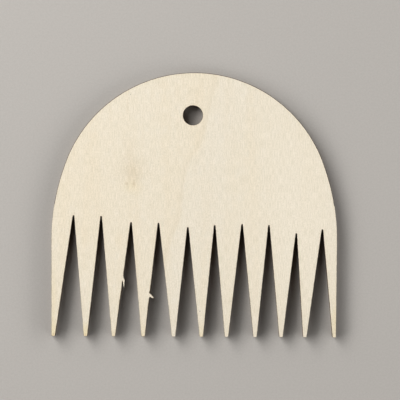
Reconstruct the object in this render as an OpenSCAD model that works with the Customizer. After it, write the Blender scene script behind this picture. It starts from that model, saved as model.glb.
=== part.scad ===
// Weaving comb: a hand beater for packing weft on a tapestry loom.
// It is one sheet of three-ply basswood, cut through with a laser: an arched hand grip above,
// eleven tapered teeth below and a hole to hang it by. The sheet lies flat, its back face on
// z = 0 and its teeth along -Y, with the origin midway across and midway from tips to crown.

/* [Outline] */
// Width across the two flanks
comb_w = 102.2; // [90:0.2:116]
// Height from the tooth tips to the top of the crown
comb_h = 94.5; // [86:0.5:108]
// Radius of the crown arc, as a share of half the width
crown_share = 0.962; // [0.92:0.002:0.98]
// How far the centres of the flank arcs lie below the centre of the crown arc
flank_drop = 10.5; // [6:0.5:14]
// How much further in each outer side stands at the tooth tips than at the shoulder
side_lean = 0.2; // [0:0.1:2]

/* [Plies] */
// Thickness of each of the two face veneers
face_t = 0.6; // [0.4:0.1:1]
// Thickness of the core veneer, whose grain runs across the teeth
core_t = 1.6; // [1:0.1:3]
// Thickness of each of the two cured glue lines
glue_t = 0.1; // [0.08:0.01:0.15]

/* [Teeth] */
// Width of a tooth's blunt tip
tip_w = 1.3; // [0.8:0.1:1.6]
// Width of a notch's blunt inner end
notch_end_w = 0.4; // [0.3:0.1:0.8]

/* [Hanging hole] */
// Diameter of the hole
hole_d = 7; // [4:0.5:10]
// Height of the hole's centre above the tooth tips, as a share of the whole height
hole_share = 0.838; // [0.78:0.002:0.88]
// Offset of the hole from the middle of the sheet, to the left
hole_offset = 0.7; // [0:0.1:2]

/* [Hidden] */
$fn = 96;

veneer_colour = "#ece2cb";
core_colour = "#d8c39a";
glue_colour = "#8a6a42";

// The teeth were drawn freehand, so that no two notches match. These are the places of the nine
// inner teeth and the ten notches on a sheet of the drawn size, from the middle of the sheet and
// up from the tips. The outer teeth follow the sides.
drawn_w = 102.2;
drawn_h = 94.5;
tip_places = [-38.7, -28.7, -18.1, -7.2, 2.7, 11.7, 21.9, 31.2, 39.7];
notch_places = [-43.2, -33.3, -22.6, -12.8, -2.3, 7.3, 17.1, 26.7, 36.5, 45.8];
notch_heights = [43.3, 43, 40.9, 40.6, 39.2, 40, 40.4, 40.1, 37.2, 38.7];

half_w = comb_w / 2;
foot_x = half_w - side_lean;
outer_tip_x = foot_x - tip_w / 2;
tip_x = concat([-outer_tip_x], tip_places * comb_w / drawn_w, [outer_tip_x]);
notch_x = notch_places * comb_w / drawn_w;
notch_h = notch_heights * comb_h / drawn_h;

// The crown arc runs into a flatter flank arc on each side, and each flank arc runs into the
// straight side of the foot. Each arc stands proud of its neighbour by lap, so that the two
// cross there at about a degree and the corner is the crossing itself.
lap = 0.03;
crown_r = crown_share * half_w;
crown_y = comb_h - crown_r;
inner_r = crown_r - lap;
shoulder_y = crown_y - flank_drop;
flank_r = (pow(flank_drop, 2) + pow(half_w, 2) - pow(inner_r, 2)) / (2 * (half_w - inner_r));
flank_x = flank_r - half_w;
joint_y = crown_y + crown_r * flank_drop / (flank_r - inner_r);
foot_top_x = half_w - lap;

// How far a cut or a bound runs past the sheet
past = 1;

// Where one wall of a notch stands at height y. side is -1 for its left wall and 1 for its right.
function wall_x(i, side, y) =
    let (
        top_x = notch_x[i] + side * notch_end_w / 2,
        tooth_x = tip_x[i + (side + 1) / 2] - side * tip_w / 2
    )
    tooth_x + (top_x - tooth_x) * y / notch_h[i];

// The part of the plane from y0 to y1
module band(y0, y1) {
    translate([-comb_w, y0]) square([2 * comb_w, y1 - y0]);
}

module crown() {
    intersection() {
        translate([0, crown_y]) circle(r = crown_r);
        band(shoulder_y, comb_h + past);
    }
}

module flanks() {
    intersection() {
        translate([-flank_x, shoulder_y]) circle(r = flank_r);
        translate([flank_x, shoulder_y]) circle(r = flank_r);
        band(shoulder_y / 2, joint_y);
    }
}

module foot() {
    polygon([[-foot_x, 0], [foot_x, 0], [foot_top_x, shoulder_y], [-foot_top_x, shoulder_y]]);
}

module notch(i) {
    corners = [[-1, -past], [1, -past], [1, notch_h[i]], [-1, notch_h[i]]];
    polygon([for (c = corners) [wall_x(i, c[0], c[1]), c[1]]]);
}

// The comb's outline, with its tips on y = 0
module outline() {
    difference() {
        union() {
            crown();
            flanks();
            foot();
        }
        for (i = [0 : len(notch_x) - 1]) notch(i);
        translate([-hole_offset, hole_share * comb_h]) circle(d = hole_d);
    }
}

// One ply, cut to the outline, from height z up
module ply(z, thickness) {
    translate([0, -comb_h / 2, z]) linear_extrude(height = thickness) outline();
}

module back_face_veneer() {
    color(veneer_colour) ply(0, face_t);
}

module back_glue_line() {
    color(glue_colour) ply(face_t, glue_t);
}

module core_veneer() {
    color(core_colour) ply(face_t + glue_t, core_t);
}

module front_glue_line() {
    color(glue_colour) ply(face_t + glue_t + core_t, glue_t);
}

module front_face_veneer() {
    color(veneer_colour) ply(face_t + 2 * glue_t + core_t, face_t);
}

back_face_veneer();
back_glue_line();
core_veneer();
front_glue_line();
front_face_veneer();
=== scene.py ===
"""The looks of a laser-cut plywood weaving comb, built around its CAD frame.

Each ply and each glue line is a mesh of its own: the CAD outline with the small things that a laser
leaves on it, a slightly tapered wall, an eased arris, an uneven char and torn fibres. Sizes are in
millimetres up to the last step, where build_mesh turns them into the frame's metres. The comb lies on
z = 0, with its teeth along -Y and the frame's origin in the middle of its back face.
"""

import math

import bpy
import numpy as np
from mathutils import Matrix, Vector
from mathutils.geometry import delaunay_2d_cdt
from mathutils.kdtree import KDTree


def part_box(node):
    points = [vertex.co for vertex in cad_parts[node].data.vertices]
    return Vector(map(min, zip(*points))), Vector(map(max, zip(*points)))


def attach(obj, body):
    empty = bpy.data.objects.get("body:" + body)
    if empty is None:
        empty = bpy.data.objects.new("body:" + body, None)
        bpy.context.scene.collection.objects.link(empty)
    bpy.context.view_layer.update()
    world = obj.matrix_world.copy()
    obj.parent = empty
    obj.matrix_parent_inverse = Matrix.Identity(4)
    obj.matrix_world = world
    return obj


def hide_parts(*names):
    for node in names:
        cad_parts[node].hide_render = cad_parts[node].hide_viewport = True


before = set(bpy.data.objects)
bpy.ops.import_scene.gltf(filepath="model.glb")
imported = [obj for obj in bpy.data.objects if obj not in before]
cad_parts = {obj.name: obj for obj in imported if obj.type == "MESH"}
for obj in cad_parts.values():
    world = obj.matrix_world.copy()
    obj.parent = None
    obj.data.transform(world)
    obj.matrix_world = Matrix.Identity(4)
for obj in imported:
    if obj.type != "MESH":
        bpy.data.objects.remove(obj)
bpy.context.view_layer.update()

MM = 0.001
SEED = 7

# ---------------------------------------------------------------------------------------------
# The comb's outline, as the CAD part draws it, with heights counted up from the tooth tips
# ---------------------------------------------------------------------------------------------

COMB_W = 102.2
COMB_H = 94.5
SIDE_LEAN = 0.2
CROWN_SHARE = 0.962
FLANK_DROP = 10.5
LAP = 0.03
TIP_W = 1.3
NOTCH_END_W = 0.4
HOLE_D = 7.0
HOLE_X = -0.7
HOLE_SHARE = 0.838
NOTCH_X = [-43.2, -33.3, -22.6, -12.8, -2.3, 7.3, 17.1, 26.7, 36.5, 45.8]
NOTCH_H = [43.3, 43.0, 40.9, 40.6, 39.2, 40.0, 40.4, 40.1, 37.2, 38.7]

HALF_W = COMB_W / 2
MIDDLE_Y = COMB_H / 2
HOLE_Y = HOLE_SHARE * COMB_H
OUTER_TIP_X = HALF_W - SIDE_LEAN - TIP_W / 2
TIP_X = [-OUTER_TIP_X, -38.7, -28.7, -18.1, -7.2, 2.7, 11.7, 21.9, 31.2, 39.7, OUTER_TIP_X]
CROWN_R = CROWN_SHARE * HALF_W
CROWN_Y = COMB_H - CROWN_R
SHOULDER_Y = CROWN_Y - FLANK_DROP
INNER_R = CROWN_R - LAP
FLANK_R = (FLANK_DROP**2 + HALF_W**2 - INNER_R**2) / (2 * (HALF_W - INNER_R))
FLANK_X = FLANK_R - HALF_W

STEP = 0.25         # between points along a cut
SAME_POINT = 1e-6   # corners closer together than this are one


def row_y(height):
    """A height above the tooth tips as a y of the frame."""
    return height - MIDDLE_Y


def wall_x(i, side, height):
    """Where a wall of notch i stands at a height; side is -1 for its left wall and 1 for its right."""
    top = NOTCH_X[i] + side * NOTCH_END_W / 2
    foot = TIP_X[i + (side + 1) // 2] - side * TIP_W / 2
    return foot + (top - foot) * height / NOTCH_H[i]


def arc(centre, radius, start, end):
    """Points on an arc from one angle to another, in radians, about STEP apart."""
    count = max(2, round(abs(end - start) * radius / STEP))
    angles = np.linspace(start, end, count)
    return [(centre[0] + radius * math.cos(a), centre[1] + radius * math.sin(a)) for a in angles]


def wall_points(i, side, torn):
    """The corners along one wall of notch i, from its foot up to its inner end."""
    points = [(wall_x(i, side, 0), 0.0)]
    if (i, side) in torn:
        points += torn[(i, side)][::-1]
    points.append((wall_x(i, side, NOTCH_H[i]), NOTCH_H[i]))
    return points


def outline_corners(torn):
    """The outline, anticlockwise from the left end of the first tip."""
    corners = []
    for i in range(len(TIP_X)):
        corners.append((TIP_X[i] - TIP_W / 2, 0.0))
        if i < len(NOTCH_X):
            corners += wall_points(i, -1, torn)
            corners += wall_points(i, 1, torn)[:0:-1]
    corners.append((HALF_W - SIDE_LEAN, 0.0))
    joint_turn = math.atan2(FLANK_DROP, FLANK_X)
    corners += arc((-FLANK_X, SHOULDER_Y), FLANK_R, 0, joint_turn)[:-1]
    corners += arc((0, CROWN_Y), CROWN_R, joint_turn, math.pi - joint_turn)
    corners += arc((FLANK_X, SHOULDER_Y), FLANK_R, math.pi - joint_turn, math.pi)[1:]
    return corners


def resampled(corners):
    """The closed line through the corners as points STEP apart."""
    line = np.array(corners + corners[:1])
    line = line[np.r_[True, np.hypot(*np.diff(line, axis=0).T) > SAME_POINT]]
    along = np.r_[0, np.cumsum(np.hypot(*np.diff(line, axis=0).T))]
    places = np.linspace(0, along[-1], round(along[-1] / STEP), endpoint=False)
    return np.column_stack([np.interp(places, along, line[:, k]) for k in (0, 1)])


# ---------------------------------------------------------------------------------------------
# What the laser left on the outline
# ---------------------------------------------------------------------------------------------

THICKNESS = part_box("front_face_veneer")[1].z / MM

KERF = 0.012          # what the laser took inside the drawn line at the back face
TAPER = 0.02          # how much further in the wall stands at the front face
ARRIS = 0.02          # the eased edge of each outer face
GLUE_RECESS = 0.02    # how far the glue lines stand back from the wall
CROWN_DARK_RIM = 0.25     # how much wider the dark char band is round the crown than in the notches and the hole
RIM_SHADE_LEAN = 0.1       # painted shade: how much more than that it is at the right end of the crown, the side away from the key light, and less at the left
FIBRE_MARGIN = 0.3    # how far from the cut a torn fibre's edge counts as lying, because it isn't charred
FINE_GRAIN = 4        # the two grains of a wall's unevenness, in points
COARSE_GRAIN = 25
DEEPEST_BITE = 3      # the deepest bite of that unevenness, as a multiple of the usual one
ROUGHER = 4           # how much rougher the rough stretches are
NEAR_WALL = 0.4       # how far from a wall's line a point may lie and still be on that wall

# The rougher stretches of wall: (notch, side, lowest and highest height)
ROUGH_STRETCHES = [(2, 1, 16.5, 24.0), (0, -1, 20.0, 30.0), (6, 1, 8.0, 14.0)]

# The tips of the two torn fibres, with heights from the tooth tips
STRIP_TIP = (-25.05, 17.4)
CHIP_TIP = (-14.2, 13.7)

# The torn fibres in the frame: the tip, how far the tear reaches from it, and how far the tip hangs
SLIVERS = [
    ((STRIP_TIP[0], row_y(STRIP_TIP[1])), 3.4, 0.1),
    ((CHIP_TIP[0], row_y(CHIP_TIP[1])), 2.8, 0.1),
]
THINNING = 0.55       # how much of its depth a torn fibre has lost at its tip
BEND_START = 0.15     # how far outside the drawn wall a torn fibre bends freely


def torn_walls():
    """The fibres torn at two walls: by (notch, side), the corners that interrupt the wall, from the top."""
    hanging_strip = [
        (-25.3, 21.8), (-25.05, 20.9), (-24.78, 20.3), (-24.85, 19.4), (-24.92, 18.5), STRIP_TIP,
        (-25.22, 18.4), (-25.38, 19.3), (-25.5, 20.0), (-25.66, 20.1), (-25.8, 19.6), (-25.88, 18.2),
    ]
    pointed_chip = [
        (-15.74, 16.2), (-15.98, 15.8), (-15.96, 15.55), (-15.66, 15.35), (-15.3, 15.05), (-14.85, 14.5),
        CHIP_TIP, (-15.0, 13.9), (-15.45, 14.15), (-15.8, 14.3), (-16.08, 13.7),
    ]
    return {(2, -1): hanging_strip, (3, -1): pointed_chip}


def softened(loop, passes):
    """A closed loop with its corners rounded."""
    for _ in range(passes):
        loop = 0.5 * loop + 0.25 * (np.roll(loop, 1, axis=0) + np.roll(loop, -1, axis=0))
    return loop


def inward(loop):
    """The unit normal at each point of a loop, towards the wood. The hole's loop turns clockwise."""
    tangent = np.roll(loop, -1, axis=0) - np.roll(loop, 1, axis=0)
    tangent /= np.hypot(*tangent.T)[:, None]
    return np.column_stack([-tangent[:, 1], tangent[:, 0]])


def wander(rng, count, reach):
    """Smooth closed noise with a standard deviation of 1; reach is its grain, in points."""
    spectrum = np.fft.rfft(rng.standard_normal(count))
    spectrum *= np.exp(-((np.arange(len(spectrum)) * reach / count) ** 2))
    noise = np.fft.irfft(spectrum, count)
    return noise / noise.std()


def bites(noise):
    """How deep the laser bit at each point, as a multiple of the usual, from noise around 0."""
    return np.clip(1 + noise, 0, DEEPEST_BITE)


def roughened(loop, rng, amount):
    """The loop with a laser's small unevenness along it, and more of it on the rough stretches."""
    strength = np.full(len(loop), amount)
    for i, side, low, high in ROUGH_STRETCHES:
        off_wall = abs(loop[:, 0] - wall_x(i, side, loop[:, 1]))
        strength[(off_wall < NEAR_WALL) & (loop[:, 1] > low) & (loop[:, 1] < high)] *= ROUGHER
    strength = softened(strength[:, None], 6)[:, 0]
    noise = 0.7 * wander(rng, len(loop), FINE_GRAIN) + 0.3 * wander(rng, len(loop), COARSE_GRAIN)
    return loop + inward(loop) * (strength * bites(noise))[:, None]


def cut_loops(rng, torn, rough):
    """The outer loop and the hole's loop of one ply in the frame, as the laser cut them."""
    outer = softened(resampled(outline_corners(torn)), 1)
    outer = roughened(outer, rng, rough)
    hole = np.array(arc((HOLE_X, HOLE_Y), HOLE_D / 2, 0, -2 * math.pi)[:-1])
    hole += inward(hole) * (rough * bites(wander(rng, len(hole), FINE_GRAIN)))[:, None]
    shift = np.array([0, -MIDDLE_Y])
    return [outer + shift, hole + shift]


def inset_share(loop):
    """How much of the wall's inset each point takes: torn fibres are too thin for more than a little.

    It is a tenth at a torn fibre and rises to the whole over the last third of the tear's reach.
    """
    share = np.ones(len(loop))
    for tip, reach, _ in SLIVERS:
        away = np.hypot(loop[:, 0] - tip[0], loop[:, 1] - tip[1]) / reach
        share = np.minimum(share, np.clip((away - 0.65) / 0.35, 0.1, 1))
    return share


def crown_rim_and_shade(loop):
    """How much wider the dark char band is at each point than in the notches and the hole: wider round the
    crown, and more so towards its right end, where the extra width is painted shade.
    """
    off_hole = np.hypot(loop[:, 0] - HOLE_X, loop[:, 1] - row_y(HOLE_Y)) > HOLE_D
    on_crown = (loop[:, 1] > 0) & off_hole
    return np.where(on_crown, CROWN_DARK_RIM + RIM_SHADE_LEAN * loop[:, 0] / HALF_W, 0)


def wall_inset(z):
    """How far the laser's wall stands inside the drawn line at height z."""
    return KERF + TAPER * z / THICKNESS


# ---------------------------------------------------------------------------------------------
# Meshes
# ---------------------------------------------------------------------------------------------

RING_REACHES = (0.3, 0.75, 1.4, 2.4)   # how far from the cut each row of inner points lies
GRID_MARGIN = 3.4                      # how far from the cut the grid of inner points begins
GRID_SPACING = 2.4
MERGE_GAP = 1e-7                       # points closer together than this become one


class EdgeDistance:
    """How far a point lies from the nearest cut."""

    def __init__(self, loops):
        self.starts = np.vstack(loops)
        self.ends = np.vstack([np.roll(loop, -1, axis=0) for loop in loops])
        self.befores = np.vstack([np.roll(loop, 1, axis=0) for loop in loops])
        self.tree = KDTree(len(self.starts))
        for k, (x, y) in enumerate(self.starts):
            self.tree.insert((x, y, 0), k)
        self.tree.balance()

    def nearest(self, points):
        return np.array([self.tree.find((x, y, 0))[1] for x, y in points])

    def __call__(self, points):
        k = self.nearest(points)
        to_next = self.to_segment(points, self.starts[k], self.ends[k])
        to_last = self.to_segment(points, self.starts[k], self.befores[k])
        return np.minimum(to_next, to_last)

    @staticmethod
    def to_segment(points, a, b):
        along = b - a
        share = np.einsum("ij,ij->i", points - a, along) / np.einsum("ij,ij->i", along, along)
        foot = a + np.clip(share, 0, 1)[:, None] * along
        return np.hypot(*(points - foot).T)


def inner_points(loops):
    """Points inside a face, and how far each is from the cut.

    They stand close together near the face's edge and wide apart in its middle: the points of a row are
    about 0.8 of the row's distance from the cut apart.
    """
    distance = EdgeDistance(loops)
    found = [np.zeros((0, 2))]
    for reach in RING_REACHES:
        stride = max(1, round(0.8 * reach / STEP))
        ring = np.vstack([(loop + inward(loop) * reach)[::stride] for loop in loops])
        ring = ring[distance(ring) > 0.93 * reach]
        found.append(thinned(ring, np.vstack(found), 0.6 * reach))
    rows = np.arange(-MIDDLE_Y, MIDDLE_Y, GRID_SPACING * math.sqrt(0.75))
    columns = np.arange(-HALF_W, HALF_W, GRID_SPACING)
    grid = np.array([(x + GRID_SPACING / 2 * (k % 2), y) for k, y in enumerate(rows) for x in columns])
    grid = grid[inside(grid, loops)]
    grid = grid[distance(grid) > GRID_MARGIN]
    points = np.vstack(found + [grid])
    return points, distance(points)


def thinned(points, others, gap):
    """The points without those closer than gap to an earlier one or to one of the others."""
    cells = {}
    for x, y in others:
        cells.setdefault((math.floor(x / gap), math.floor(y / gap)), []).append((x, y))
    kept = []
    for x, y in points:
        column, row = math.floor(x / gap), math.floor(y / gap)
        near = [p for i in (-1, 0, 1) for j in (-1, 0, 1) for p in cells.get((column + i, row + j), [])]
        if all(math.hypot(x - u, y - v) >= gap for u, v in near):
            cells.setdefault((column, row), []).append((x, y))
            kept.append((x, y))
    return np.array(kept).reshape(-1, 2)


def inside(points, loops):
    """Which points lie inside the outer loop and outside the hole."""
    within = np.zeros(len(points), bool)
    for loop in loops:
        for (x0, y0), (x1, y1) in zip(loop, np.roll(loop, -1, axis=0)):
            if y0 != y1:
                spans = (y0 > points[:, 1]) != (y1 > points[:, 1])
                crossing = x0 + (points[:, 1] - y0) * (x1 - x0) / (y1 - y0)
                within ^= spans & (points[:, 0] < crossing)
    return within


def triangles_of(loops, extra):
    """The triangles of the face between the loops, through the extra points.

    A point's number counts the loops' points first and the extra ones after them.
    """
    points = np.vstack(loops + [extra])
    edges = []
    start = 0
    for loop in loops:
        count = len(loop)
        edges += [(start + k, start + (k + 1) % count) for k in range(count)]
        start += count
    result = delaunay_2d_cdt([Vector(p) for p in points], edges, [], 0, MERGE_GAP)
    numbers = [ids[0] for ids in result[3]]
    triangles = [tuple(numbers[k] for k in corners) for corners in result[2]]
    return np.array(triangles)[left_of(triangles, set(edges))]


def left_of(triangles, edges):
    """Which anticlockwise triangles lie to the left of the directed edges, where the wood is.

    A triangle that touches no edge lies on the side that its neighbours lie on.
    """
    side = np.zeros(len(triangles), int)
    sharing = {}
    for t, (a, b, c) in enumerate(triangles):
        for u, v in ((a, b), (b, c), (c, a)):
            if (u, v) in edges:
                side[t] = 1
            elif (v, u) in edges:
                side[t] = -1
            else:
                sharing.setdefault(frozenset((u, v)), []).append(t)
    neighbours = {}
    for pair in sharing.values():
        for t in pair:
            neighbours.setdefault(t, []).extend(pair)
    known = list(np.flatnonzero(side))
    while known:
        t = known.pop()
        for other in neighbours.get(t, []):
            if side[other] == 0:
                side[other] = side[t]
                known.append(other)
    return side > 0


def wall_quads(loops, levels):
    """The wall's four-cornered faces, from each level's ring of points up to the next."""
    ring_size = sum(len(loop) for loop in loops)
    quads = []
    for level in range(levels - 1):
        start = level * ring_size
        for loop in loops:
            count = len(loop)
            for k in range(count):
                a, b = start + k, start + (k + 1) % count
                quads.append((a, b, b + ring_size, a + ring_size))
            start += count
    return quads


def at_height(points, z):
    """Flat points with a z."""
    return np.column_stack([points, np.full(len(points), z)])


def build_mesh(name, loops, profile, detail, shape):
    """A ply as a closed mesh, with the faces as material 0 and the wall as material 1.

    profile lists (z, inset) up the wall, detail names the faces that have inner points, and shape, where
    given, moves the finished points. Each point keeps its distance from the cut in edge_mm and its place
    along the cut in along_mm.
    """
    levels = len(profile)
    ring_size = sum(len(loop) for loop in loops)
    normals = [inward(loop) * inset_share(loop)[:, None] for loop in loops]
    rings = [[loop + n * inset for loop, n in zip(loops, normals)] for _, inset in profile]
    # Round the crown the dark char band is made wider, and more so at its right end, where the extra is
    # painted shade.
    shift = np.concatenate([FIBRE_MARGIN * (1 - inset_share(loop)) - crown_rim_and_shade(loop) for loop in loops])
    points = [at_height(np.vstack(ring), z) for ring, (z, _) in zip(rings, profile)]
    edge = [inset + shift for _, inset in profile]
    along = [np.arange(len(loop)) * STEP for loop in loops] * levels
    polygons = wall_quads(loops, levels)
    wall_count = len(polygons)
    total = ring_size * levels
    for face, level in (("back", 0), ("front", levels - 1)):
        extra, depth = inner_points(loops) if face in detail else (np.zeros((0, 2)), np.zeros(0))
        triangles = triangles_of(rings[level], extra)
        on_ring = triangles < ring_size
        numbers = np.where(on_ring, triangles + level * ring_size, triangles - ring_size + total)
        if face == "back":
            numbers = numbers[:, ::-1]
        polygons += [tuple(int(n) for n in t) for t in numbers]
        points.append(at_height(extra, profile[level][0]))
        edge.append(depth)
        along.append(np.zeros(len(extra)))
        total += len(extra)
    points = np.vstack(points)
    if shape:
        points = shape(points)
    mesh = bpy.data.meshes.new(name)
    mesh.from_pydata((points * MM).tolist(), [], polygons)
    store(mesh, "edge_mm", np.concatenate(edge))
    store(mesh, "along_mm", np.concatenate(along))
    material = np.zeros(len(polygons), np.int32)
    material[:wall_count] = 1
    mesh.polygons.foreach_set("material_index", material)
    mesh.validate()
    mesh.update()
    return linked(name, mesh)


def store(mesh, name, values):
    """Keeps one number for each point of a mesh, for its materials."""
    attribute = mesh.attributes.new(name, "FLOAT", "POINT")
    attribute.data.foreach_set("value", np.asarray(values, np.float32))


def linked(name, data):
    """A new object in the scene, made of the data."""
    made = bpy.data.objects.new(name, data)
    bpy.context.scene.collection.objects.link(made)
    return made


# ---------------------------------------------------------------------------------------------
# Material graphs
# ---------------------------------------------------------------------------------------------

class Graph:
    """Short names for the nodes that the materials here are made of."""

    def __init__(self, name):
        self.material = bpy.data.materials.new(name)
        self.material.use_nodes = True
        self.tree = self.material.node_tree
        self.tree.nodes.clear()
        output = self.tree.nodes.new("ShaderNodeOutputMaterial")
        self.shader = self.tree.nodes.new("ShaderNodeBsdfPrincipled")
        self.tree.links.new(self.shader.outputs[0], output.inputs["Surface"])

    def put(self, socket, value):
        """Sets a socket to a value, or links the socket that is given as its value into it."""
        if isinstance(value, bpy.types.NodeSocket):
            self.tree.links.new(value, socket)
        else:
            socket.default_value = value

    def node(self, kind, inputs, **settings):
        made = self.tree.nodes.new(kind)
        for key, value in settings.items():
            setattr(made, key, value)
        for key, value in inputs.items():
            self.put(made.inputs[key], value)
        return made

    def math(self, operation, a, b):
        return self.node("ShaderNodeMath", {0: a, 1: b}, operation=operation).outputs[0]

    def plus(self, a, b):
        return self.math("ADD", a, b)

    def times(self, a, b):
        return self.math("MULTIPLY", a, b)

    def span(self, value, low, high, to_low=0.0, to_high=1.0, kind="SMOOTHSTEP"):
        """Goes from to_low to to_high as the value goes from low to high, and no further."""
        inputs = {"Value": value, "From Min": low, "From Max": high, "To Min": to_low, "To Max": to_high}
        return self.node("ShaderNodeMapRange", inputs, interpolation_type=kind).outputs[0]

    def mix(self, share, a, b, blend="MIX"):
        made = self.node("ShaderNodeMix", {"Factor": share}, data_type="RGBA", blend_type=blend)
        self.put(made.inputs[6], a if isinstance(a, bpy.types.NodeSocket) else (*a, 1))
        self.put(made.inputs[7], b if isinstance(b, bpy.types.NodeSocket) else (*b, 1))
        return made.outputs[2]

    def scaled(self, vector, scale, offset=(0, 0, 0)):
        inputs = {0: vector, 1: scale, 2: offset}
        return self.node("ShaderNodeVectorMath", inputs, operation="MULTIPLY_ADD").outputs[0]

    def noise(self, vector, detail=2.0, rough=0.5):
        inputs = {"Vector": vector, "Scale": 1.0, "Detail": detail, "Roughness": rough}
        return self.node("ShaderNodeTexNoise", inputs).outputs[0]

    def attribute(self, name):
        return self.node("ShaderNodeAttribute", {}, attribute_name=name).outputs["Fac"]

    def position(self):
        """The point's place in the frame, in millimetres."""
        place = self.node("ShaderNodeTexCoord", {}).outputs["Object"]
        return self.scaled(place, (1 / MM, 1 / MM, 1 / MM))

    def split(self, vector):
        return self.node("ShaderNodeSeparateXYZ", {0: vector}).outputs

    def blot(self, place, centre, size, wobble):
        """1 at the centre of an oval spot and 0 beyond it; size is half its width and half its height."""
        scale = (1 / size[0], 1 / size[1], 0)
        offset = (-centre[0] / size[0], -centre[1] / size[1], 0)
        near = self.scaled(place, scale, offset)
        length = self.node("ShaderNodeVectorMath", {0: near}, operation="LENGTH").outputs["Value"]
        return self.span(self.plus(length, wobble), 1.0, 0.0)

    def curve(self, value, points):
        """A smooth curve through points, each from 0 to 1 both ways."""
        made = self.node("ShaderNodeFloatCurve", {"Value": value})
        line = made.mapping.curves[0]
        line.points[0].location = points[0]
        line.points[1].location = points[-1]
        for point in points[1:-1]:
            line.points.new(*point)
        made.mapping.update()
        return made.outputs[0]

    def bump(self, height, distance, strength=1.0):
        """A normal from a relief that is distance deep, in millimetres."""
        inputs = {"Height": height, "Distance": distance * MM, "Strength": strength}
        return self.node("ShaderNodeBump", inputs).outputs[0]

    def finish(self, colour, roughness, normal, specular):
        self.put(self.shader.inputs["Base Color"], colour)
        self.put(self.shader.inputs["Roughness"], roughness)
        self.put(self.shader.inputs["Normal"], normal)
        self.put(self.shader.inputs["Specular IOR Level"], specular)
        return self.material


# Base colours, in linear RGB
WOOD = (0.83, 0.747, 0.599)
WOOD_PALE = (0.83, 0.77, 0.66)
WOOD_LIGHT = (0.88, 0.796, 0.647)
WOOD_WARM = (0.825, 0.722, 0.55)
WOOD_YELLOW = (0.82, 0.70, 0.45)
WOOD_DARK = (0.64, 0.52, 0.34)
TOASTED = (0.60, 0.42, 0.20)
CHAR = (0.045, 0.028, 0.016)
CHAR_BROWN = (0.11, 0.065, 0.032)
VENEER_CUT_BROWN = (0.15, 0.09, 0.045)
CORE_CUT_DARK = (0.028, 0.017, 0.01)
CORE_CUT_BROWN = (0.07, 0.04, 0.02)
GLUE_CUT_DARK = (0.015, 0.01, 0.007)
GLUE_CUT_BROWN = (0.04, 0.024, 0.014)
GLUE = (0.30, 0.19, 0.085)
GLUE_DEEP = (0.20, 0.12, 0.05)
GLUE_PRESSED = (0.38, 0.26, 0.13)
CARD_DARK = (0.455, 0.429, 0.399)
CARD_LIGHT = (0.485, 0.458, 0.426)

LINE_REACH = 20   # a growth line's curve runs from this far left of the middle to as far right


def plain_wood(g, shifted, streak):
    """Basswood's pale ground: broad bands, mottling and streaks along Y."""
    band = g.noise(g.scaled(shifted, (0.16, 0.011, 0)), 2.0, 0.5)
    mottle = g.noise(g.scaled(shifted, (0.35, 0.22, 0)), 3.0, 0.6)
    colour = g.mix(g.span(band, 0.35, 0.75, 0, 0.7), WOOD, WOOD_WARM)
    colour = g.mix(g.times(g.span(mottle, 0.45, 0.75), 0.28), colour, WOOD_PALE)
    return g.mix(g.times(g.span(streak, 0.5, 0.8), 0.14), colour, WOOD_DARK)


def with_growth_line(g, colour, place, shifted, growth_line):
    """The colour with a growth line down it, warmer wood to its left and paler wood to its right."""
    x, y, _ = g.split(place)
    drift = g.noise(g.scaled(shifted, (0.05, 0.012, 0)))
    height = g.span(y, -MIDDLE_Y, MIDDLE_Y, kind="LINEAR")
    line_x = g.span(g.curve(height, growth_line), 0, 1, -LINE_REACH, LINE_REACH, "LINEAR")
    off_line = g.math("SUBTRACT", x, g.plus(line_x, g.times(drift, 1.5)))
    left = g.times(g.span(off_line, -16, -1), g.span(off_line, 1.2, -1.6))
    right = g.times(g.span(off_line, 22, 4), g.span(off_line, -2.0, 4.0))
    line = g.times(g.span(off_line, -2.0, 0), g.span(off_line, 0.7, 0))
    colour = g.mix(g.times(left, 0.35), colour, WOOD_WARM)
    colour = g.mix(g.times(right, 0.27), colour, WOOD_PALE)
    return g.mix(g.times(line, 0.13), colour, WOOD_DARK)


def with_char(g, colour, place, shifted, fine, smoke):
    """The colour with a smoke stain beside the cut and a thin char at it, patchier in the lower half."""
    edge = g.plus(g.attribute("edge_mm"), g.span(fine, 0, 1, -0.04, 0.04))
    colour = g.mix(g.times(g.span(edge, 1.3, 0.1), smoke), colour, TOASTED)
    scorch = g.noise(g.scaled(shifted, (0.9, 0.6, 0)))
    least = g.span(g.split(place)[1], -4, 4, 0.35, 0.9)
    burnt = g.times(g.span(edge, 0.15, 0.06), g.span(scorch, 0.35, 0.6, least, 1.0))
    return g.mix(burnt, colour, CHAR)


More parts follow.
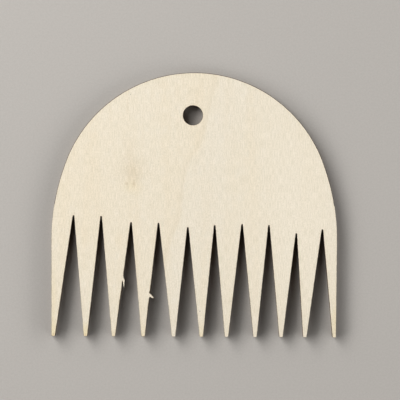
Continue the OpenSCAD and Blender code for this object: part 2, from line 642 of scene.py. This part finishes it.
def basswood_face(name, seed, growth_line, knot, patches, specks, smoke):
    """Sanded basswood with its grain along Y, its char along the cut, and the marks named.

    The marks are ovals: (centre, size, colour, share) for each patch, (centre, size, share) for each part
    of the knot and (centre, size) for each speck. smoke is how strong the stain beside the cut is.
    """
    g = Graph(name)
    place = g.position()
    shifted = g.scaled(place, (1, 1, 1), (seed * 31.7, seed * 17.3, 0))
    fine = g.noise(g.scaled(shifted, (3.6, 1.6, 0)), 1.5, 0.6)
    fibre = g.noise(g.scaled(shifted, (4.4, 0.32, 0)), 1.0, 0.5)
    streak = g.noise(g.scaled(shifted, (1.1, 0.06, 0)), 2.0, 0.55)

    colour = plain_wood(g, shifted, streak)
    colour = with_growth_line(g, colour, place, shifted, growth_line)
    wobble = g.span(fine, 0, 1, -0.25, 0.25)
    for centre, size, tint, share in patches:
        colour = g.mix(g.times(g.blot(place, centre, size, wobble), share), colour, tint)
    for centre, size, share in knot:
        colour = g.mix(g.times(g.blot(place, centre, size, wobble), share), colour, WOOD_DARK)
    for centre, size in specks:
        spot = g.blot(place, centre, size, g.span(fine, 0, 1, -0.4, 0.4))
        colour = g.mix(g.times(spot, 0.85), colour, CHAR_BROWN)
    grain = g.plus(g.times(fine, 0.5), g.times(fibre, 0.5))
    pore = g.span(grain, 0.33, 0.67, 0.9, 1.085)
    grey = g.node("ShaderNodeCombineColor", {0: pore, 1: pore, 2: g.math("POWER", pore, 1.3)}).outputs[0]
    colour = g.mix(1.0, colour, grey, "MULTIPLY")
    colour = with_char(g, colour, place, shifted, fine, smoke)

    roughness = g.plus(g.span(streak, 0, 1, 0.5, 0.62), g.span(fine, 0, 1, -0.05, 0.05))
    relief = g.plus(g.times(fine, 0.6), g.times(streak, 0.4))
    return g.finish(colour, roughness, g.bump(relief, 0.03, 0.7), 0.35)


def cut_edge(name, grain, dark, brown, share, seed):
    """A laser's wall: charred, with the marks that its pulses leave up it and the ply's grain in it.

    grain is the scale of the ply's fibres along X, Y and Z, and share is how much the pulses show.
    """
    g = Graph(name)
    place = g.position()
    z = g.split(place)[2]
    lean = g.plus(g.attribute("along_mm"), g.times(z, 0.15))
    cut = g.node("ShaderNodeCombineXYZ", {0: lean, 1: z, 2: float(seed)}).outputs[0]
    pulses = g.noise(g.scaled(cut, (5.0, 0.35, 1)), 2.0, 0.6)
    fibres = g.noise(g.scaled(place, grain), 3.0, 0.6)
    patches = g.noise(g.scaled(place, (0.18, 0.18, 0.6), (seed * 5.1, 0, 0)), 3.0, 0.55)
    colour = g.mix(g.span(patches, 0.35, 0.7), dark, brown)
    colour = g.mix(g.times(g.span(pulses, 0.45, 0.75), share), colour, TOASTED)
    colour = g.mix(g.times(g.span(fibres, 0.5, 0.8), 0.3), colour, WOOD_DARK)
    roughness = g.span(patches, 0.3, 0.7, 0.72, 0.9)
    relief = g.plus(g.times(pulses, 0.7), g.times(fibres, 0.3))
    return g.finish(colour, roughness, g.bump(relief, 0.06, 0.8), 0.25)


def core_wood():
    """The faces of the core, inside the sheet: grain along X, with glue soaked into it."""
    g = Graph("core_wood")
    place = g.position()
    fibres = g.noise(g.scaled(place, (0.3, 2.6, 1)), 3.0, 0.6)
    soaked = g.noise(g.scaled(place, (0.2, 0.2, 1)), 3.0)
    colour = g.mix(g.span(fibres, 0.35, 0.7), WOOD_WARM, WOOD_DARK)
    colour = g.mix(g.times(g.span(soaked, 0.4, 0.7), 0.4), colour, TOASTED)
    roughness = g.span(soaked, 0.3, 0.7, 0.55, 0.75)
    return g.finish(colour, roughness, g.bump(fibres, 0.05, 0.6), 0.35)


def cured_glue(name, seed):
    """Amber glue in a thin sheet, with the grain of both plies pressed into it."""
    g = Graph(name)
    place = g.position()
    press = g.noise(g.scaled(place, (1.4, 0.5, 1), (seed * 9.1, 0, 0)), 3.0, 0.6)
    pools = g.noise(g.scaled(place, (0.15, 0.15, 1), (0, seed * 4.3, 0)))
    colour = g.mix(g.span(pools, 0.35, 0.65), GLUE, GLUE_DEEP)
    colour = g.mix(g.times(g.span(press, 0.45, 0.7), 0.5), colour, GLUE_PRESSED)
    roughness = g.span(press, 0.3, 0.7, 0.3, 0.45)
    return g.finish(colour, roughness, g.bump(press, 0.02, 0.6), 0.5)


def front_material():
    growth_line = [
        (0.0, 0.12), (0.34, 0.255), (0.47, 0.355), (0.58, 0.38), (0.66, 0.425),
        (0.73, 0.53), (0.87, 0.62), (1.0, 0.68),
    ]
    knot = [
        ((-22.0, row_y(59.6)), (8.5, 9.0), 0.21),
        ((-22.2, row_y(58.2)), (4.6, 4.0), 0.2),
        ((-21.6, row_y(54.6)), (0.65, 1.7), 0.8),
        ((-24.2, row_y(54.6)), (0.7, 0.9), 0.6),
        ((-23.2, row_y(66.0)), (3.6, 10.0), 0.1),
    ]
    patches = [
        ((-35.0, row_y(48.0)), (20.0, 42.0), WOOD_WARM, 0.4),
        ((40.0, row_y(40.0)), (36.0, 70.0), WOOD_LIGHT, 0.75),
        ((-22.4, row_y(53.6)), (6.0, 4.0), WOOD_YELLOW, 0.28),
        ((-39.1, row_y(37.0)), (3.2, 5.5), WOOD_WARM, 0.75),
        ((-26.6, row_y(34.5)), (3.0, 5.0), WOOD_WARM, 0.65),
        ((-50.3, row_y(11.0)), (2.2, 20.0), WOOD_YELLOW, 0.35),
        ((50.3, row_y(5.0)), (1.8, 11.0), WOOD_YELLOW, 0.6),
    ]
    tinted_tips = [(0, 8.0, 0.8), (1, 5.5, 0.9), (2, 4.0, 0.3), (3, 6.0, 0.35), (5, 5.5, 0.4)]
    for tooth, reach, share in tinted_tips:
        patches.append(((TIP_X[tooth], row_y(1.2)), (1.8, reach), WOOD_YELLOW, share))
        patches.append(((TIP_X[tooth], row_y(0.0)), (1.5, 1.6), TOASTED, 0.5 * share))
    specks = [((2.2, row_y(9.2)), (0.3, 0.22)), ((-23.0, row_y(86.6)), (0.25, 0.22))]
    return basswood_face("basswood_front", 1, growth_line, knot, patches, specks, 0.05)


def back_material():
    growth_line = [(0.0, 0.72), (0.35, 0.66), (0.7, 0.5), (1.0, 0.46)]
    patches = [
        ((24.0, row_y(52.0)), (7.0, 12.0), WOOD_WARM, 0.5),
        ((-31.0, row_y(64.0)), (4.0, 9.0), WOOD_PALE, 0.6),
    ]
    specks = [((-14.0, row_y(71.0)), (0.35, 0.5))]
    return basswood_face("basswood_back", 5, growth_line, [], patches, specks, 0.24)


# ---------------------------------------------------------------------------------------------
# The pieces
# ---------------------------------------------------------------------------------------------

def bend_slivers(points):
    """Thins the torn fibres towards their tips and lets the tips hang a little."""
    top = points[:, 2].max()
    for tip, reach, drop in SLIVERS:
        near = np.hypot(points[:, 0] - tip[0], points[:, 1] - tip[1])
        weight = np.clip(1 - near / reach, 0, 1) * on_sliver(points, tip)
        depth = (top - points[:, 2]) * (1 - THINNING * weight)
        points[:, 2] = top - depth - drop * weight**2
    return points


def on_sliver(points, tip):
    """1 for points that stand in a notch, outside the drawn wall, near a sliver's tip."""
    i = int(np.argmin([abs(x - tip[0]) for x in NOTCH_X]))
    wall = wall_x(i, -1, points[:, 1] + MIDDLE_Y)
    return np.clip((points[:, 0] - wall) / BEND_START, 0, 1)


def heights(node):
    """A CAD node's lowest and highest z, in millimetres."""
    low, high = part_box(node)
    return low.z / MM, high.z / MM


def face_profile(node, outer):
    """(z, inset) up the wall of a face veneer, with its arris eased on the outer side."""
    low, high = heights(node)
    if outer == "front":
        levels = [low, (low + high) / 2, high - ARRIS, high - 0.3 * ARRIS, high]
        eased = [0, 0, 0, 0.3 * ARRIS, ARRIS]
    else:
        levels = [low, low + 0.3 * ARRIS, low + ARRIS, (low + high) / 2, high]
        eased = [ARRIS, 0.3 * ARRIS, 0, 0, 0]
    return [(z, wall_inset(z) + more) for z, more in zip(levels, eased)]


def inner_profile(node, recess, count):
    """(z, inset) at count levels up the wall of a ply or a glue line inside the sheet."""
    low, high = heights(node)
    return [(float(z), wall_inset(z) + recess) for z in np.linspace(low, high, count)]


def add_piece(name, node, materials, profile, rough, seed, detail=(), torn=None, shape=None):
    """One ply or glue line, in the place of its CAD node. rough is the usual depth of the laser's bites."""
    rng = np.random.default_rng(SEED + seed)
    piece = build_mesh(name, cut_loops(rng, torn or {}, rough), profile, detail, shape)
    for material in materials:
        piece.data.materials.append(material)
    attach(piece, "root")
    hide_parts(node)


def make_comb():
    along_cut = cut_edge("veneer_cut", (2.2, 0.25, 3.0), CHAR, VENEER_CUT_BROWN, 0.28, 1)
    across_cut = cut_edge("core_cut", (0.25, 2.2, 3.0), CORE_CUT_DARK, CORE_CUT_BROWN, 0.12, 2)
    glue_cut = cut_edge("glue_cut", (1.0, 1.0, 1.0), GLUE_CUT_DARK, GLUE_CUT_BROWN, 0.1, 3)

    add_piece("back_veneer", "back_face_veneer", [back_material(), along_cut],
              face_profile("back_face_veneer", "back"), rough=0.006, seed=1, detail=["back"])
    add_piece("back_glue", "back_glue_line", [cured_glue("glue_back", 1), glue_cut],
              inner_profile("back_glue_line", GLUE_RECESS, 2), rough=0.01, seed=2)
    add_piece("core", "core_veneer", [core_wood(), across_cut],
              inner_profile("core_veneer", 0.0, 5), rough=0.008, seed=3)
    add_piece("front_glue", "front_glue_line", [cured_glue("glue_front", 2), glue_cut],
              inner_profile("front_glue_line", GLUE_RECESS, 2), rough=0.01, seed=4)
    add_piece("front_veneer", "front_face_veneer", [front_material(), along_cut],
              face_profile("front_face_veneer", "front"), rough=0.006, seed=5, detail=["front"],
              torn=torn_walls(), shape=bend_slivers)


# ---------------------------------------------------------------------------------------------
# The stage, in metres
# ---------------------------------------------------------------------------------------------

def add_floor():
    """A square of pale card, a hair below the comb so that the two faces don't coincide."""
    side = 1.6
    below = -0.05 * MM
    mesh = bpy.data.meshes.new("floor")
    corners = [(-side, -side, below), (side, -side, below), (side, side, below), (-side, side, below)]
    mesh.from_pydata(corners, [], [(0, 1, 2, 3)])
    floor = linked("floor", mesh)
    g = Graph("pale_card")
    tooth = g.noise(g.scaled(g.position(), (1.6, 1.6, 1)), 3.0, 0.6)
    colour = g.mix(g.span(tooth, 0.3, 0.7), CARD_DARK, CARD_LIGHT)
    floor.data.materials.append(g.finish(colour, 0.85, g.bump(tooth, 0.03, 0.3), 0.2))


def add_camera():
    """Above the comb, a little off its middle, with a long lens, turned a third of a degree."""
    height = 0.8
    aside = (2.0 * MM, 1.7 * MM)
    view_w = 142.96 * MM   # what the view takes in at the height of the comb's front face
    roll = 0.3
    data = bpy.data.cameras.new("camera")
    data.sensor_width = 36
    data.lens = data.sensor_width * (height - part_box("front_face_veneer")[1].z) / view_w
    camera = linked("camera", data)
    camera.location = (*aside, height)
    camera.rotation_euler = (0, 0, math.radians(roll))
    bpy.context.scene.camera = camera


def add_softbox(name, azimuth, elevation, distance, width, height, power):
    """A softbox that faces the comb; azimuth is anticlockwise from +X and both angles are in degrees."""
    turn, rise = math.radians(azimuth), math.radians(elevation)
    data = bpy.data.lights.new(name, "AREA")
    data.shape = "RECTANGLE"
    data.size = width
    data.size_y = height
    data.energy = power
    box = linked(name, data)
    flat = distance * math.cos(rise)
    box.location = (flat * math.cos(turn), flat * math.sin(turn), distance * math.sin(rise))
    box.rotation_euler = (-box.location).to_track_quat("-Z", "Y").to_euler()


def add_room(horizon, zenith):
    """A dim room, brighter round the horizon than overhead."""
    world = bpy.data.worlds.new("room")
    world.use_nodes = True
    tree = world.node_tree
    place = tree.nodes.new("ShaderNodeTexCoord")
    parts = tree.nodes.new("ShaderNodeSeparateXYZ")
    rise = tree.nodes.new("ShaderNodeMapRange")
    rise.inputs["From Min"].default_value = 0.2
    rise.inputs["From Max"].default_value = 0.6
    rise.inputs["To Min"].default_value = horizon
    rise.inputs["To Max"].default_value = zenith
    tree.links.new(place.outputs["Generated"], parts.inputs[0])
    tree.links.new(parts.outputs[2], rise.inputs["Value"])
    tree.links.new(rise.outputs[0], tree.nodes["Background"].inputs["Strength"])
    tree.nodes["Background"].inputs["Color"].default_value = (1, 1, 1, 1)
    bpy.context.scene.world = world


def add_lights():
    """A wide low softbox at the upper left with a small one beside it, and two weaker ones at the right."""
    add_softbox("key", azimuth=160, elevation=28.5, distance=1.6, width=3.45, height=0.6, power=43.7)
    add_softbox("tall", azimuth=138, elevation=32, distance=0.66, width=0.36, height=0.72, power=2.5)
    add_softbox("fill", azimuth=15, elevation=18, distance=1.1, width=2.4, height=0.3, power=11.2)
    add_softbox("corner", azimuth=-42, elevation=22, distance=1.1, width=0.6, height=0.8, power=3.3)
    add_room(horizon=0.02, zenith=0.004)
    bpy.context.scene.view_settings.view_transform = "Standard"


make_comb()
add_floor()
add_camera()
add_lights()
